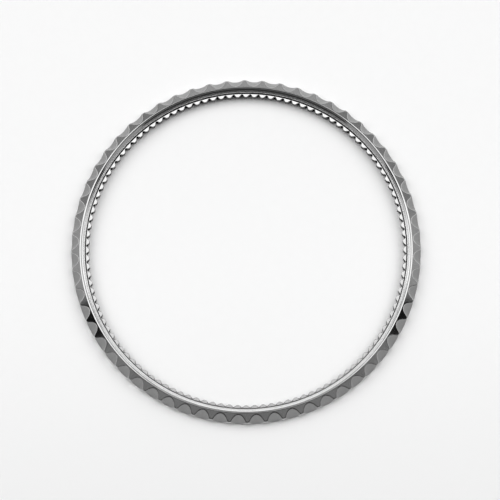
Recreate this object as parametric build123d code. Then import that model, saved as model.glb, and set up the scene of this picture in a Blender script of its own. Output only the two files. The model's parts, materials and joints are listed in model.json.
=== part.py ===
"""Rotating watch bezel: a fluted steel ring with an empty insert seat, ratchet
teeth on the inside and a friction gasket in a channel underneath.

Millimetres. The turning axis is Z, Z = 0 is the plane that the bezel stands on and
+Z looks at the wearer. +Y passes through the crest between two grip flutes.
"""
import os
from math import cos, degrees, hypot, radians, sin, tan

from build123d import *

# Insert seat, the size that every radius of the ring is counted from
insert_diameter = 38.0
insert_clearance = 0.12
seat_depth = 0.70
seat_wall_height = 0.20
seat_relief_width = 0.12
seat_relief_depth = 0.12
seat_relief_taper = 0.03

# Rim around the seat, from the seat wall outwards
flare_width = 0.38
inner_bevel_width = 0.12
inner_bevel_drop = 0.07
rim_land_width = 0.11
outer_bevel_width = 0.08
outer_bevel_drop = 0.04

# Grip cone and outer wall
ring_height = 1.90
cone_width = 0.94
grip_wall_height = 1.14
foot_chamfer = 0.10

# Grip flutes, each a blunt V that a cutter leaves along a floor line leaning inwards
flute_count = 60
flute_angle = 124.0
flute_nose_radius = 1.00
flute_foot_height = 0.12
flute_top_margin = 0.02
flute_cutter_depth = 1.20

# Ratchet teeth, which stand inwards from the ledge that the insert rests on
tooth_count = 120
tooth_depth = 0.28
tooth_height = 0.90
tooth_root_width = 0.08
tooth_land_width = 0.10
tooth_stock = 0.10
steep_flank_share = 0.32
gentle_flank_share = 0.40
tooth_phase_share = 0.66

# Guide bore under the teeth, which runs on the collar of the watch case
guide_step = 0.05
guide_chamfer = 0.06

# Channel in the underside and the gasket in it
channel_wall = 0.40
channel_width = 0.70
channel_depth = 0.60
gasket_clearance = 0.05
gasket_chamfer = 0.08

# Extra reach of the cutting tools past the faces that they leave through
overrun = 0.50

# Radii worked out from the sizes above
seat_radius = insert_diameter / 2 + insert_clearance
flare_radius = seat_radius + flare_width
crown_radius = flare_radius + inner_bevel_width
land_radius = crown_radius + rim_land_width
cone_radius = land_radius + outer_bevel_width
outer_radius = cone_radius + cone_width
relief_radius = seat_radius - seat_relief_width
root_radius = relief_radius - tooth_land_width
tip_radius = root_radius - tooth_depth
stock_radius = tip_radius - tooth_stock
guide_radius = root_radius + guide_step
channel_inner_radius = guide_radius + channel_wall
channel_outer_radius = channel_inner_radius + channel_width

# Heights worked out from the sizes above
ledge_height = ring_height - seat_depth
seat_wall_top = ledge_height + seat_wall_height
relief_height = ledge_height - seat_relief_depth
tooth_foot_height = ledge_height - tooth_height
flare_height = ring_height - inner_bevel_drop
cone_height = ring_height - outer_bevel_drop


def half_section(points):
    """Face in the XZ plane from (radius, height) points, ready to turn about Z."""
    return Plane.XZ * make_face(Polyline(*points, close=True).edges())


def on_circle(radius, angle):
    """Point in plan at a clockwise angle in degrees from +Y."""
    return (radius * sin(radians(angle)), radius * cos(radians(angle)))


def turned_blank():
    """The ring as it leaves the lathe, before its teeth and flutes are cut."""
    underside = [
        (guide_radius + guide_chamfer, 0),
        (channel_inner_radius, 0),
        (channel_inner_radius, channel_depth),
        (channel_outer_radius, channel_depth),
        (channel_outer_radius, 0),
        (outer_radius - foot_chamfer, 0),
    ]
    outside = [
        (outer_radius, foot_chamfer),
        (outer_radius, grip_wall_height),
        (cone_radius, cone_height),
        (land_radius, ring_height),
        (crown_radius, ring_height),
    ]
    seat = [
        (flare_radius, flare_height),
        (seat_radius, seat_wall_top),
        (seat_radius, ledge_height),
        (seat_radius - seat_relief_taper, relief_height),
        (relief_radius, relief_height),
        (relief_radius, ledge_height),
    ]
    inside = [
        (stock_radius, ledge_height),
        (stock_radius, tooth_foot_height),
        (guide_radius, tooth_foot_height),
        (guide_radius, guide_chamfer),
    ]
    return revolve(half_section(underside + outside + seat + inside), axis=Axis.Z)


def tooth_broach():
    """The space inside the flat tooth tips, with the gap between each pair of them."""
    pitch = 360 / tooth_count
    root_half_angle = degrees(tooth_root_width / 2 / root_radius)
    outline = []
    for index in range(tooth_count):
        root = pitch * (index + tooth_phase_share)
        outline += [
            on_circle(tip_radius, root - pitch * gentle_flank_share),
            on_circle(root_radius, root - root_half_angle),
            on_circle(root_radius, root + root_half_angle),
            on_circle(tip_radius, root + pitch * steep_flank_share),
        ]
    face = make_face(Polyline(*outline, close=True).edges())
    return Pos(0, 0, -overrun) * extrude(face, amount=ring_height + 2 * overrun)


def flute_cutter():
    """A blunt V bar that lies along the floor line of a flute over +Y."""
    cone_rise = cone_height - grip_wall_height
    top_share = 1 - flute_top_margin / hypot(cone_width, cone_rise)
    run = cone_width * top_share
    rise = grip_wall_height + cone_rise * top_share - flute_foot_height
    foot = Plane(
        origin=(0, outer_radius, flute_foot_height),
        x_dir=(1, 0, 0),
        z_dir=(0, -run, rise),
    )
    half_angle = radians(flute_angle / 2)
    nose_x = flute_nose_radius * cos(half_angle)
    nose_y = flute_nose_radius * (1 - sin(half_angle))
    mouth_x = nose_x + (flute_cutter_depth - nose_y) * tan(half_angle)
    nose = ThreePointArc((-nose_x, nose_y), (0, 0), (nose_x, nose_y))
    flanks = Polyline(
        (nose_x, nose_y),
        (mouth_x, flute_cutter_depth),
        (-mouth_x, flute_cutter_depth),
        (-nose_x, nose_y),
    )
    face = make_face([nose, *flanks.edges()])
    length = hypot(run, rise) + 2 * overrun
    return foot * Pos(0, 0, -overrun) * extrude(face, amount=length, dir=(0, 0, 1))


def make_bezel_ring():
    """The one-piece steel ring."""
    pitch = 360 / flute_count
    cutter = flute_cutter()
    cutters = [Rot(0, 0, pitch * (index + 0.5)) * cutter for index in range(flute_count)]
    return turned_blank() - tooth_broach() - cutters


def make_bezel_gasket():
    """The flat gasket that fills the channel and rubs on the shoulder of the case."""
    inner = channel_inner_radius + gasket_clearance
    outer = channel_outer_radius - gasket_clearance
    top = channel_depth - gasket_clearance
    section = [
        (inner + gasket_chamfer, 0),
        (outer - gasket_chamfer, 0),
        (outer, gasket_chamfer),
        (outer, top - gasket_chamfer),
        (outer - gasket_chamfer, top),
        (inner + gasket_chamfer, top),
        (inner, top - gasket_chamfer),
        (inner, gasket_chamfer),
    ]
    return revolve(half_section(section), axis=Axis.Z)


def main():
    os.makedirs("parts", exist_ok=True)
    export_step(make_bezel_ring(), "parts/bezel_ring.step")
    export_step(make_bezel_gasket(), "parts/bezel_gasket.step")


main()
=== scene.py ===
"""Looks of the rotating watch bezel: a fluted steel ring that stands on pale paper.

Sections are worked out in millimetres as (radius, height) and turned about Z. Angles
round the ring run clockwise from +Y, seen from above, where a crest between flutes is.
"""

import json
from collections import namedtuple
from math import cos, hypot, pi, radians, sin, sqrt, tan

import bpy
import numpy as np
from mathutils import Matrix, Vector


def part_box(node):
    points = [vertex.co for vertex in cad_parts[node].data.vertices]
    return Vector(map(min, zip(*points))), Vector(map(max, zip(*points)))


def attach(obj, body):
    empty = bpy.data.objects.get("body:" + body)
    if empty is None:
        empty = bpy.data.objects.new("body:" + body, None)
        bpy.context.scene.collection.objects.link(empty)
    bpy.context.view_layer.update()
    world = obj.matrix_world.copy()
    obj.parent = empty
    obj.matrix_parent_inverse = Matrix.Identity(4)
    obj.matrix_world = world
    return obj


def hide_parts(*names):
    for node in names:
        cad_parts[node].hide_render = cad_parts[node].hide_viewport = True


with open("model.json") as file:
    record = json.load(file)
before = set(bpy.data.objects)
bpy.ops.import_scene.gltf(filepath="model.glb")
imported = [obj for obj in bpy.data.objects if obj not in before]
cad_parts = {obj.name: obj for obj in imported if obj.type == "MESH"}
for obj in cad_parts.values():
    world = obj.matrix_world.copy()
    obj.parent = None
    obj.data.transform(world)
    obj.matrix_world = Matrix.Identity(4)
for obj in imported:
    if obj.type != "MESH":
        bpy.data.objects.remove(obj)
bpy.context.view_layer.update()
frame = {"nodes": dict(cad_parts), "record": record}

mm = 0.001

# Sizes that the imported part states
ring_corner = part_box("bezel_ring")[1]
gasket_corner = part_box("bezel_gasket")[1]
mounts = {mount["name"]: mount["dims"] for mount in frame["record"]["mounts"]}
outer_radius = ring_corner.x / mm
ring_height = ring_corner.z / mm
seat_radius = mounts["insert_seat"]["r_mm"]
guide_radius = mounts["case_guide"]["r_mm"]

# Heights
seat_depth = 0.70
seat_wall_height = 0.24
seat_relief_depth = 0.12
inner_bevel_drop = 0.07
outer_bevel_drop = 0.04
grip_wall_height = 1.14
foot_chamfer = 0.10
guide_chamfer = 0.06
ledge_height = ring_height - seat_depth
seat_wall_top = ledge_height + seat_wall_height
relief_height = ledge_height - seat_relief_depth
flare_height = ring_height - inner_bevel_drop
cone_height = ring_height - outer_bevel_drop

# Widths and radii of the rim and seat
flare_width = 0.39
inner_bevel_width = 0.105
rim_land_width = 0.075
outer_bevel_width = 0.06
seat_relief_width = 0.12
seat_relief_taper = 0.03
flare_radius = seat_radius + flare_width
crown_radius = flare_radius + inner_bevel_width
land_radius = crown_radius + rim_land_width
cone_radius = land_radius + outer_bevel_width
relief_radius = seat_radius - seat_relief_width
relief_floor_radius = seat_radius - seat_relief_taper

# Channel in the underside, which the gasket fills
channel_clearance = 0.05
channel_width = 0.70
channel_outer_radius = gasket_corner.x / mm + channel_clearance
channel_inner_radius = channel_outer_radius - channel_width
channel_height = gasket_corner.z / mm + channel_clearance

# Grip flutes
flute_count = 60
flute_half_angle = radians(49)
flute_nose_radius = 1.05
flute_foot_height = 0.12
flute_top_margin = 0.18

# Ratchet teeth
teeth_per_flute = 2
tooth_land_width = 0.10
tooth_depth = 0.28
tooth_height = 0.90
tooth_root_width = 0.08
tooth_root_radius = relief_radius - tooth_land_width
tooth_tip_radius = tooth_root_radius - tooth_depth
tooth_foot_height = ledge_height - tooth_height
steep_flank_share = 0.32
gentle_flank_share = 0.40
tooth_phase_share = 0.66

# How far the rounding of an edge reaches along its faces
corner_reach = [0.04, 0.07, 0.06, 0.05, 0.04, 0.08, 0.05, 0.05]
flute_edge = 0.07
ridge_edge = 0.40
tooth_corner = 0.05
tooth_edge = 0.04
root_edge = 0.07
inner_edge = 0.02

flute_pitch = 2 * pi / flute_count
tooth_pitch = flute_pitch / teeth_per_flute


# Shape of the ring

def smooth_max(a, b, width):
    """The larger of two distances, with the edge between them rounded off."""
    closeness = np.clip(1 - np.abs(a - b) / width, 0, 1)
    return np.maximum(a, b) + closeness ** 2 * width / 4


def beyond(start, end, r, z):
    """Distance outside a straight edge of a section that runs clockwise."""
    run = end[0] - start[0]
    rise = end[1] - start[1]
    length = hypot(run, rise)
    return ((r - start[0]) * -rise + (z - start[1]) * run) / length


outer_corners = [
    (seat_radius, ledge_height),
    (seat_radius, seat_wall_top),
    (flare_radius, flare_height),
    (crown_radius, ring_height),
    (land_radius, ring_height),
    (cone_radius, cone_height),
    (outer_radius, grip_wall_height),
    (outer_radius, foot_chamfer),
    (outer_radius - foot_chamfer, 0),
    (channel_outer_radius + inner_edge, 0),
]
zone_of_edge = ["relief", "rim", "rim", "rim", "rim", "grip", "grip", "turned", "turned"]
rows_on_edge = [3, 8, 5, 5, 5, 22, 14, 4, 3]

# Line inside the metal, as (radius, height), that the rays of the outer rows aim for
core_top = (19.62, 1.12)
core_foot = (20.20, 0.28)
halvings = 36


def turn_between(before, corner, after):
    """Sine of the angle that a section turns by at a corner."""
    run, rise = corner[0] - before[0], corner[1] - before[1]
    next_run, next_rise = after[0] - corner[0], after[1] - corner[1]
    return abs(run * next_rise - rise * next_run) / hypot(run, rise) / hypot(next_run, next_rise)


def turned_distance(r, z):
    """Distance outside the turned outside of the ring, before the flutes are cut."""
    distance = beyond(outer_corners[0], outer_corners[1], r, z)
    for index, reach in enumerate(corner_reach):
        before, corner, after = outer_corners[index:index + 3]
        width = reach * turn_between(before, corner, after)
        distance = smooth_max(distance, beyond(corner, after, r, z), width)
    return distance


def flute_distance(r, z, angle):
    """How deep a point lies in the blunt V of the flute at angle zero."""
    cone_run = outer_radius - cone_radius
    cone_drop = cone_height - grip_wall_height
    down_cone = 1 - flute_top_margin / hypot(cone_run, cone_drop)
    run = cone_run * down_cone
    rise = grip_wall_height + cone_drop * down_cone - flute_foot_height
    side = np.abs(r * np.sin(angle))
    out = (r * np.cos(angle) - outer_radius) * rise + (z - flute_foot_height) * run
    out = out / hypot(run, rise)
    point = flute_nose_radius * (1 - 1 / sin(flute_half_angle))
    flank = (out - point) * sin(flute_half_angle) - side * cos(flute_half_angle)
    nose = flute_nose_radius - np.hypot(side, out - flute_nose_radius)
    in_nose = side * tan(flute_half_angle) < flute_nose_radius - out
    return np.where(in_nose, nose, flank)


def ring_distance(r, z, angle):
    """Distance outside the fluted ring; angle is counted from a crest."""
    before, here, after = (
        flute_distance(r, z, angle - flute_pitch * shift) for shift in (-0.5, 0.5, 1.5)
    )
    cut = smooth_max(smooth_max(before, here, ridge_edge), after, ridge_edge)
    return smooth_max(turned_distance(r, z), cut, flute_edge)


# The mesh is made of rows round the ring; a row holds one flute pitch of points with
# their outward directions along the angle, along the radius and up
Row = namedtuple("Row", "angles radii heights side out up zone")


def outward(r, z, angles):
    """Direction out of the fluted ring at points on its surface."""
    step = 0.002
    side = ring_distance(r, z, angles + step / r) - ring_distance(r, z, angles - step / r)
    out = ring_distance(r + step, z, angles) - ring_distance(r - step, z, angles)
    up = ring_distance(r, z + step, angles) - ring_distance(r, z - step, angles)
    length = np.sqrt(side ** 2 + out ** 2 + up ** 2)
    return side / length, out / length, up / length


def along_tooth(start, end):
    """Direction out of the metal on the flat between two corners of the tooth outline."""
    along = (end[0] - start[0]) * (start[1] + end[1]) / 2
    across = end[1] - start[1]
    return np.array((across, -along)) / hypot(along, across)


def tooth_outline():
    """Angle, radius and outward direction along one tooth pitch, corners rounded off."""
    root_half = tooth_root_width / 2 / tooth_root_radius
    root = tooth_pitch * tooth_phase_share
    corners = [
        (root - tooth_pitch * (1 - steep_flank_share), tooth_tip_radius),
        (root - tooth_pitch * gentle_flank_share, tooth_tip_radius),
        (root - root_half, tooth_root_radius),
        (root + root_half, tooth_root_radius),
    ]
    points_on_flat = [1, 2, 0, 1]
    points = []
    for index, corner in enumerate(corners):
        before = corners[index - 1] if index else (corners[-1][0] - tooth_pitch, corners[-1][1])
        after = corners[index + 1] if index < 3 else (corners[0][0] + tooth_pitch, corners[0][1])
        facing_before = along_tooth(before, corner)
        facing = along_tooth(corner, after)
        corner = np.array(corner)
        back = step_towards(corner, before, tooth_corner)
        on = step_towards(corner, after, tooth_corner)
        points.append((back, facing_before))
        points.append(((back + 2 * corner + on) / 4, (facing_before + facing) / 2))
        points.append((on, facing))
        further = step_towards(np.array(after), corner, tooth_corner)
        count = points_on_flat[index]
        for step in range(count):
            points.append((on + (further - on) * (step + 1) / (count + 1), facing))
    return np.array([(*place, *facing) for place, facing in points])


def step_towards(corner, other, distance):
    """A point at most that far, in millimetres, from a corner towards the next."""
    along = np.array(other) - corner
    length = hypot(along[0] * corner[1], along[1])
    largest_share = 0.4
    return corner + along * min(distance / length, largest_share)


tooth_points = tooth_outline()
columns = len(tooth_points) * teeth_per_flute
tooth_angles = np.concatenate([tooth_points[:, 0] + tooth_pitch * k for k in range(teeth_per_flute)])
tooth_radii = np.tile(tooth_points[:, 1], teeth_per_flute)
tooth_side = np.tile(tooth_points[:, 2], teeth_per_flute)
tooth_out = np.tile(tooth_points[:, 3], teeth_per_flute)
flute_angles = np.arange(columns) / columns * flute_pitch + tooth_angles[0]


def blended_angles(tooth_share):
    """Column angles between even spacing, at 0, and the points of the teeth, at 1."""
    return flute_angles + (tooth_angles - flute_angles) * tooth_share


def eased(count):
    """Shares from 0 to 1 that crowd towards both ends."""
    return (1 - np.cos(np.linspace(0, pi, count + 1))) / 2


def outer_rows():
    """Rows over the seat wall, rim, grip and foot, found along rays into the metal."""
    tooth_share = [1, 0.5] + [0] * 8
    core = np.array(core_top)
    along = np.array(core_foot) - core
    rows = []
    for index, count in enumerate(rows_on_edge):
        start, end = np.array(outer_corners[index]), np.array(outer_corners[index + 1])
        last = index == len(rows_on_edge) - 1
        for share in eased(count)[: count + 1 if last else count]:
            base = start + (end - start) * share
            angles = blended_angles(tooth_share[index] * (1 - share) + tooth_share[index + 1] * share)
            target = core + along * np.clip((base - core) @ along / (along @ along), 0, 1)
            outside = np.zeros(columns)
            inside = np.ones(columns)
            for _ in range(halvings):
                middle = (outside + inside) / 2
                r, z = (base[axis] + (target[axis] - base[axis]) * middle for axis in (0, 1))
                clear = ring_distance(r, z, angles) > 0
                outside = np.where(clear, middle, outside)
                inside = np.where(clear, inside, middle)
            r, z = (base[axis] + (target[axis] - base[axis]) * inside for axis in (0, 1))
            rows.append(Row(angles, r, z, *outward(r, z, angles), zone_of_edge[index]))
    return rows


def even_row(r, z, out, up, zone, tooth_share):
    """A plain circle of points that all face the same way out and up."""
    same = np.ones(columns)
    return Row(blended_angles(tooth_share), r * same, z * same, 0 * same, out * same, up * same, zone)


def section_rows(corners, zone, tooth_share):
    """Two rows for each edge of a section, with a narrow rounded strip left at each corner."""
    rows = []
    for start, end in zip(corners, corners[1:]):
        run, rise = end[0] - start[0], end[1] - start[1]
        length = hypot(run, rise)
        for share in (inner_edge / length, 1 - inner_edge / length):
            r, z = start[0] + run * share, start[1] + rise * share
            rows.append(even_row(r, z, -rise / length, run / length, zone, tooth_share))
    return rows


def tooth_row(inset, z, up, zone):
    """The tooth outline, moved into the metal by an inset, facing up by that sine."""
    level = sqrt(1 - up ** 2)
    return Row(
        tooth_angles - tooth_side * inset / tooth_radii,
        tooth_radii - tooth_out * inset,
        z * np.ones(columns),
        tooth_side * level,
        tooth_out * level,
        np.full(columns, up),
        zone,
    )


def edge_reach():
    """Rounding at the top of the teeth, which grows from their tips to their roots."""
    to_root = (tooth_radii - tooth_tip_radius) / (tooth_root_radius - tooth_tip_radius)
    return tooth_edge + (root_edge - tooth_edge) * np.clip(to_root, 0, 1)


def ledge_row(share):
    """Between the top edge of the teeth and the relief groove."""
    inner = tooth_row(edge_reach(), ledge_height, 1.0, "seat")
    edge = relief_radius - inner_edge
    angles = inner.angles + (tooth_angles - inner.angles) * share
    return inner._replace(angles=angles, radii=inner.radii + (edge - inner.radii) * share)


def inner_rows():
    """Rows through the gasket channel, up the guide bore and teeth to the relief groove."""
    half_up = sin(radians(45))
    foot_bevel = tooth_edge * (1 - half_up)
    top_edge = edge_reach()
    top_bevel = top_edge * (1 - half_up)
    channel = [
        (channel_outer_radius, 0),
        (channel_outer_radius, channel_height),
        (channel_inner_radius, channel_height),
        (channel_inner_radius, 0),
    ]
    bore = [
        (channel_inner_radius, 0),
        (guide_radius + guide_chamfer, 0),
        (guide_radius, guide_chamfer),
        (guide_radius, tooth_foot_height),
    ]
    groove = [
        (relief_radius, ledge_height),
        (relief_radius, relief_height),
        (relief_floor_radius, relief_height),
        (seat_radius, ledge_height),
    ]
    rows = section_rows(channel, "turned", 0) + section_rows(bore, "turned", 1)
    rows += [
        even_row(guide_radius - inner_edge, tooth_foot_height, 0, -1, "teeth", 1),
        tooth_row(tooth_edge, tooth_foot_height, -1.0, "teeth"),
        tooth_row(foot_bevel, tooth_foot_height + foot_bevel, -half_up, "teeth"),
        tooth_row(0, tooth_foot_height + tooth_edge, 0.0, "teeth"),
        tooth_row(0, ledge_height - top_edge, 0.0, "teeth"),
        tooth_row(top_bevel, ledge_height - top_bevel, half_up, "teeth"),
        ledge_row(0),
        ledge_row(0.5),
        ledge_row(1),
    ]
    return rows + section_rows(groove, "relief", 1)


def make_ring(materials):
    """The whole steel ring as one closed mesh with its exact normals."""
    outside = outer_rows()
    rows = outside + inner_rows()
    count = len(rows)
    around = flute_count * columns
    turns = np.arange(flute_count)[None, :, None] * flute_pitch

    def all_round(field):
        part = np.array([getattr(row, field) for row in rows])
        return np.broadcast_to(part[:, None, :], (count, flute_count, columns))

    angles = all_round("angles") + turns
    radii, heights = all_round("radii"), all_round("heights")
    side, out = all_round("side"), all_round("out")
    sine, cosine = np.sin(angles), np.cos(angles)
    vertices = np.stack([radii * sine, radii * cosine, heights], -1).reshape(-1, 3) * mm
    normals = np.stack([out * sine + side * cosine, out * cosine - side * sine, all_round("up")], -1)
    row, column = np.arange(count)[:, None], np.arange(around)[None, :]
    next_row, next_column = (row + 1) % count, (column + 1) % around
    faces = np.stack([
        row * around + column,
        row * around + next_column,
        next_row * around + next_column,
        next_row * around + column,
    ], -1).reshape(-1, 4)
    mesh = bpy.data.meshes.new("bezel_steel")
    mesh.from_pydata(vertices.tolist(), [], faces.tolist())
    zones = list(materials)
    for zone in zones:
        mesh.materials.append(materials[zone])
    zone_index = np.array([zones.index(row.zone) for row in rows], np.int32)
    mesh.polygons.foreach_set("material_index", np.repeat(zone_index, around))
    mesh.polygons.foreach_set("use_smooth", np.ones(count * around, bool))
    depth = -turned_distance(radii, heights)
    depth[len(outside):] = 0
    attribute = mesh.attributes.new("flute_depth", "FLOAT", "POINT")
    attribute.data.foreach_set("value", np.clip(depth, 0, 1).astype(np.float32).ravel())
    mesh.update()
    mesh.normals_split_custom_set_from_vertices(normals.reshape(-1, 3).tolist())
    ring = bpy.data.objects.new("bezel_steel", mesh)
    bpy.context.scene.collection.objects.link(ring)
    return ring


# Shader maths

class Signal:
    """One output of a node; arithmetic on it adds the Math nodes."""

    def __init__(self, shader, socket):
        self.shader = shader
        self.socket = socket

    def math(self, operation, *values):
        sockets = {index: value for index, value in enumerate(values)}
        return self.shader.node("ShaderNodeMath", {"operation": operation}, sockets)

    def __add__(self, other):
        return self.math("ADD", self, other)

    def __radd__(self, other):
        return self.math("ADD", other, self)

    def __sub__(self, other):
        return self.math("SUBTRACT", self, other)

    def __rsub__(self, other):
        return self.math("SUBTRACT", other, self)

    def __mul__(self, other):
        return self.math("MULTIPLY", self, other)

    def __rmul__(self, other):
        return self.math("MULTIPLY", other, self)

    def __truediv__(self, other):
        return self.math("DIVIDE", self, other)

    def __pow__(self, other):
        return self.math("POWER", self, other)

    def most(self, other):
        return self.math("MAXIMUM", self, other)


class Shader:
    """A node tree that is filled with one call for each node."""

    def __init__(self, tree):
        self.tree = tree
        tree.nodes.clear()

    def node(self, kind, settings=None, sockets=None, output=0):
        made = self.tree.nodes.new(kind)
        for name, value in (settings or {}).items():
            setattr(made, name, value)
        for name, value in (sockets or {}).items():
            if isinstance(value, Signal):
                self.tree.links.new(value.socket, made.inputs[name])
            else:
                made.inputs[name].default_value = value
        return Signal(self, made.outputs[output]) if made.outputs else None

    def rise(self, value, low, high):
        """0 below low, 1 above high and a smooth step between them."""
        return self.node(
            "ShaderNodeMapRange",
            {"interpolation_type": "SMOOTHSTEP"},
            {"Value": value, "From Min": low, "From Max": high},
        )

    def mix_colour(self, share, a, b):
        return self.node(
            "ShaderNodeMix",
            {"data_type": "RGBA"},
            {"Factor": share, 6: a, 7: b},
            output=2,
        )

    def noise(self, where, scale, detail, roughness, settings=None):
        return self.node("ShaderNodeTexNoise", settings, {
            "Vector": where, "Scale": scale, "Detail": detail, "Roughness": roughness,
        })

    def bump(self, depth, pattern):
        """Normal of a surface with a pattern that is so many millimetres deep."""
        return self.node("ShaderNodeBump", sockets={
            "Strength": 1.0, "Distance": depth * mm, "Height": pattern,
        })


def grey(value):
    return (value, value, value, 1)


def new_material(name):
    material = bpy.data.materials.new(name)
    material.use_nodes = True
    return material, Shader(material.node_tree)


# Place in metres, radius and height in millimetres, angle round the ring in turns
Spot = namedtuple("Spot", "place radius height turn")


def polar(shader):
    place = shader.node("ShaderNodeTexCoord", output="Object")
    parts = shader.node("ShaderNodeSeparateXYZ", sockets={0: place})
    x = parts
    y = Signal(shader, parts.socket.node.outputs["Y"])
    z = Signal(shader, parts.socket.node.outputs["Z"])
    radius = (x * x + y * y) ** 0.5 / mm
    turn = x.math("ARCTAN2", x, y) / (2 * pi)
    return Spot(place, radius, z / mm, turn)


def finish_steel(shader, base, roughness, normal, edge_tint=1.0):
    surface = shader.node("ShaderNodeBsdfPrincipled", sockets={
        "Base Color": base,
        "Metallic": 1.0,
        "Roughness": roughness,
        "Specular Tint": grey(edge_tint),
        "Normal": normal,
    })
    shader.node("ShaderNodeOutputMaterial", sockets={"Surface": surface})


def lathe_lines(shader, across, fineness, seed):
    """Fine turning marks: noise that changes across the cut and hardly along it."""
    where = shader.node("ShaderNodeCombineXYZ", sockets={0: across * fineness, 1: seed, 2: 0.0})
    return shader.noise(where, 1.0, 3.0, 0.6, {"noise_dimensions": "2D"})


def hand_marks(shader, spot):
    """Soft clouds where the steel has been handled."""
    return shader.noise(spot.place, 420.0, 3.0, 0.55)


def polished_steel(name, base, roughness, line_height):
    """Turned and polished steel with faint concentric marks and hand marks."""
    material, shader = new_material(name)
    spot = polar(shader)
    lines = lathe_lines(shader, spot.radius + spot.height * 0.7, 14.0, 3.0)
    clouds = hand_marks(shader, spot)
    colour = shader.mix_colour(shader.rise(clouds, 0.35, 0.7), grey(base), grey(base * 0.93))
    rough = roughness + lines * 0.05 + shader.rise(clouds, 0.5, 0.8) * 0.05
    finish_steel(shader, colour, rough, shader.bump(line_height, lines))
    return material


def tooth_steel():
    """Broached flanks that were left dull, with painted shade that turns them near black down in the gaps
    between the teeth.
    """
    material, shader = new_material("tooth_steel")
    spot = polar(shader)
    dull_flank, painted_gap_shade = grey(0.40), grey(0.010)
    gap_shade_start, gap_shade_full = 0.14, 0.03
    # Painted shade: the colour goes near black towards the tooth roots, where the narrow gaps lie in shade.
    gap_shade_share = shader.rise(spot.radius, tooth_root_radius - gap_shade_start, tooth_root_radius - gap_shade_full)
    marks = shader.noise(spot.place, 6000.0, 3.0, 0.6)
    colour = shader.mix_colour(gap_shade_share, dull_flank, painted_gap_shade)
    finish_steel(shader, colour, 0.32 + marks * 0.1, shader.bump(0.002, marks), edge_tint=0.1)
    return material


def rim_steel():
    """Polished crown above the flare, the crown darkened as painted shade and the flare lightened as
    painted highlight, with turning marks down the flare.
    """
    material, shader = new_material("rim_steel")
    spot = polar(shader)
    flare_painted_highlight, crown_painted_shade, hand_mark = grey(0.93), grey(0.40), grey(0.60)
    marks_full, marks_end = 0.23, 0.11
    colour_blend = 0.04
    turned = 1 - shader.rise(spot.radius, flare_radius - marks_full, flare_radius - marks_end)
    lines = lathe_lines(shader, spot.radius + spot.height, 26.0, 3.0)
    clouds = hand_marks(shader, spot)
    # Painted highlight on the flare and painted shade on the crown, split by radius.
    crown = shader.rise(spot.radius, flare_radius - colour_blend, flare_radius + colour_blend)
    colour = shader.mix_colour(crown, flare_painted_highlight, crown_painted_shade)
    colour = shader.mix_colour(shader.rise(clouds, 0.35, 0.7) * 0.3, colour, hand_mark)
    rough = 0.06 + turned * 0.12 + shader.rise(clouds, 0.5, 0.8) * 0.05
    finish_steel(shader, colour, rough, shader.bump(0.008, lines * (turned + 0.02)))
    return material


def grip_steel():
    """Satin flutes between smooth lands, with smooth rounded edges."""
    material, shader = new_material("grip_steel")
    spot = polar(shader)
    depth = shader.node("ShaderNodeAttribute", {"attribute_name": "flute_depth"}, output="Fac")
    smooth_land, satin_flute, stroke = grey(0.58), grey(0.27), grey(0.23)
    strokes_across, strokes_along = 40.0, 1.2
    in_flute = shader.rise(depth, 0.005, 0.035)
    strokes_at = shader.node("ShaderNodeCombineXYZ", sockets={
        0: spot.turn * flute_count * strokes_across,
        1: spot.height * strokes_along,
        2: spot.radius * strokes_along,
    })
    strokes = shader.noise(strokes_at, 1.0, 4.0, 0.6)
    grain = shader.noise(spot.place, 9000.0, 2.0, 0.5)
    colour = shader.mix_colour(in_flute, smooth_land, satin_flute)
    colour = shader.mix_colour(shader.rise(strokes, 0.3, 0.7) * 0.35, colour, stroke)
    rough = 0.08 + in_flute * 0.22 + strokes * 0.05
    finish_steel(shader, colour, rough, shader.bump(0.003, strokes * 0.7 + grain * 0.4))
    return material


def gasket_rubber():
    """Moulded matt black rubber with a little dust."""
    material, shader = new_material("moulded_rubber")
    spot = polar(shader)
    black, dusty = grey(0.025), grey(0.09)
    grain = shader.noise(spot.place, 5000.0, 3.0, 0.6)
    dust = shader.noise(spot.place, 700.0, 4.0, 0.7)
    colour = shader.mix_colour(shader.rise(dust, 0.55, 0.8) * 0.5, black, dusty)
    surface = shader.node("ShaderNodeBsdfPrincipled", sockets={
        "Base Color": colour, "Roughness": 0.7 + grain * 0.2, "Normal": shader.bump(0.01, grain),
    })
    shader.node("ShaderNodeOutputMaterial", sockets={"Surface": surface})
    return material


# Studio: paper floor, surrounding light and camera

def paper_floor():
    """Plain pale paper, with painted shade that makes it a little darker in front of the ring than behind
    it.
    """
    material, shader = new_material("white_paper")
    paper, fibre, front_painted_shade = grey(0.92), grey(0.94), grey(0.83)
    front_shade_reach = 45 * mm
    place = shader.node("ShaderNodeTexCoord", output="Object")
    fibres = shader.noise(place, 900.0, 3.0, 0.6)
    parts = shader.node("ShaderNodeSeparateXYZ", sockets={0: place})
    y = Signal(shader, parts.socket.node.outputs["Y"])
    colour = shader.mix_colour(fibres, paper, fibre)
    # Painted shade: the paper darkens towards the front, standing in for the fall of the light.
    colour = shader.mix_colour(shader.rise(y, 0, -front_shade_reach), colour, front_painted_shade)
    surface = shader.node("ShaderNodeBsdfPrincipled", sockets={
        "Base Color": colour, "Roughness": 0.9, "Specular IOR Level": 0.1,
    })
    shader.node("ShaderNodeOutputMaterial", sockets={"Surface": surface})
    reach = 1.2
    drop = 0.003 * mm
    mesh = bpy.data.meshes.new("paper")
    around = [(-1, -1), (1, -1), (1, 1), (-1, 1)]
    corners = [(x_side * reach, y_side * reach, -drop) for x_side, y_side in around]
    mesh.from_pydata(corners, [], [(0, 1, 2, 3)])
    mesh.materials.append(material)
    floor = bpy.data.objects.new("paper", mesh)
    bpy.context.scene.collection.objects.link(floor)


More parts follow.
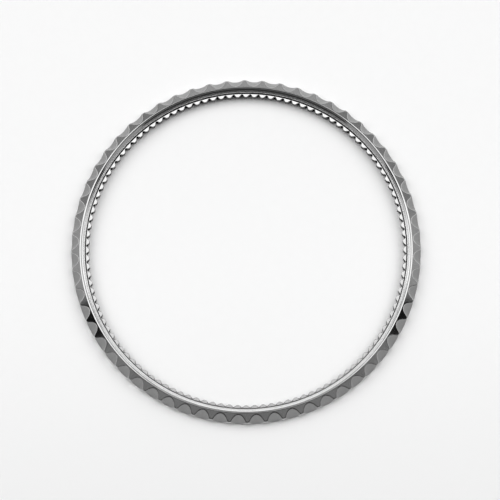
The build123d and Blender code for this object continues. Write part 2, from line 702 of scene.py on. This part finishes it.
def panel(shader, direction, azimuth, elevation, half_width, half_height, soft, lean):
    """A rectangular light panel in the surroundings, as a share from 0 to 1."""
    a, e = radians(azimuth), radians(elevation)
    ahead = Vector((sin(a) * cos(e), cos(a) * cos(e), sin(e)))
    level_side = Vector((cos(a), -sin(a), 0))
    side = level_side * cos(radians(lean)) + level_side.cross(ahead) * sin(radians(lean))
    up = side.cross(ahead)

    def along(axis):
        return shader.node(
            "ShaderNodeVectorMath", {"operation": "DOT_PRODUCT"}, {0: direction, 1: axis}, output="Value"
        )

    forward = along(ahead)
    safe_forward = 0.001
    wide = along(side) / forward.most(safe_forward)
    tall = along(up) / forward.most(safe_forward)
    inside = 1 - shader.rise(wide.math("ABSOLUTE", wide), half_width - soft, half_width + soft)
    inside = inside * (1 - shader.rise(tall.math("ABSOLUTE", tall), half_height - soft, half_height + soft))
    return inside * shader.rise(forward, 0.0, 0.05)


# Azimuth and elevation in degrees, half width and half height as tangents, softness of
# the edge, lean in degrees and radiance; each patch covers those before it
light_patches = [
    (0, 40, 0.60, 0.45, 0.20, 0, 0.34),
    (0, 6, 0.45, 0.25, 0.15, 0, 0.54),
    (80, 14, 0.22, 0.16, 0.08, 0, 0.50),
    (280, 14, 0.22, 0.16, 0.08, 0, 0.50),
    (75, 1, 0.80, 0.08, 0.05, 0, 1.2),
    (285, 1, 0.80, 0.08, 0.05, 0, 1.2),
    (180, 56, 1.05, 0.37, 0.05, 0, 0.03),
    (180, 10, 1.00, 0.27, 0.05, 0, 0.03),
    (63, 55, 0.52, 0.44, 0.06, 0, 2.5),
    (297, 55, 0.52, 0.44, 0.06, 0, 2.5),
    (0, 75.5, 0.30, 0.08, 0.04, 0, 1.45),
    (105, 22, 0.13, 0.24, 0.03, -8, 0.01),
    (255, 22, 0.13, 0.24, 0.03, 8, 0.01),
]


def surrounding_light():
    """Even dim light all round, with the patches laid over it."""
    base_level = 0.30
    world = bpy.data.worlds.new("studio")
    bpy.context.scene.world = world
    world.use_nodes = True
    shader = Shader(world.node_tree)
    direction = shader.node("ShaderNodeTexCoord", output="Generated")
    level = base_level
    for azimuth, elevation, width, height, soft, lean, strength in light_patches:
        share = panel(shader, direction, azimuth, elevation, width, height, soft, lean)
        level = level + share * (strength - level)
    lit = shader.node("ShaderNodeBackground", sockets={"Color": grey(1.0), "Strength": level})
    shader.node("ShaderNodeOutputWorld", sockets={"Surface": lit})


def photo_camera():
    """The camera as the ellipses of the ring in the photograph place it."""
    distance = 400 * mm
    pixels_per_mm = 8.41
    image_pixels = 500
    tilt = radians(11.24)
    roll = radians(-1.95)
    turn = radians(1.45)
    ring_left_of_middle = 3.86
    ring_below_middle = 1.7
    away = Vector((0, -sin(tilt), cos(tilt)))
    right = Vector((1, 0, 0))
    up = away.cross(right)
    image_right = right * cos(roll) + up * sin(roll)
    image_up = up * cos(roll) - right * sin(roll)
    facing = Matrix((image_right, image_up, away)).transposed()
    facing = Matrix.Rotation(turn, 3, "Z") @ facing
    camera = bpy.data.cameras.new("camera")
    camera.sensor_width = 36
    camera.lens = camera.sensor_width * pixels_per_mm * distance / mm / image_pixels
    camera.shift_x = ring_left_of_middle / image_pixels
    camera.shift_y = ring_below_middle / image_pixels
    camera.clip_start = 10 * mm
    camera.clip_end = 10
    body = bpy.data.objects.new("camera", camera)
    body.matrix_world = Matrix.Translation(facing @ Vector((0, 0, distance))) @ facing.to_4x4()
    bpy.context.scene.collection.objects.link(body)
    bpy.context.scene.camera = body


finishes = {
    "grip": grip_steel(),
    "rim": rim_steel(),
    "seat": polished_steel("seat_steel", 0.74, 0.12, 0.001),
    "teeth": tooth_steel(),
    # The relief groove and seat wall are painted near black as painted shade of that narrow recess.
    "relief": polished_steel("relief_steel", 0.06, 0.35, 0.001),
    "turned": polished_steel("turned_steel", 0.60, 0.22, 0.003),
}
ring = make_ring(finishes)
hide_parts("bezel_ring")
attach(ring, "bezel")

gasket = frame["nodes"]["bezel_gasket"]
gasket.data.materials.clear()
gasket.data.materials.append(gasket_rubber())

paper_floor()
surrounding_light()
photo_camera()
bpy.context.scene.view_settings.view_transform = "Standard"
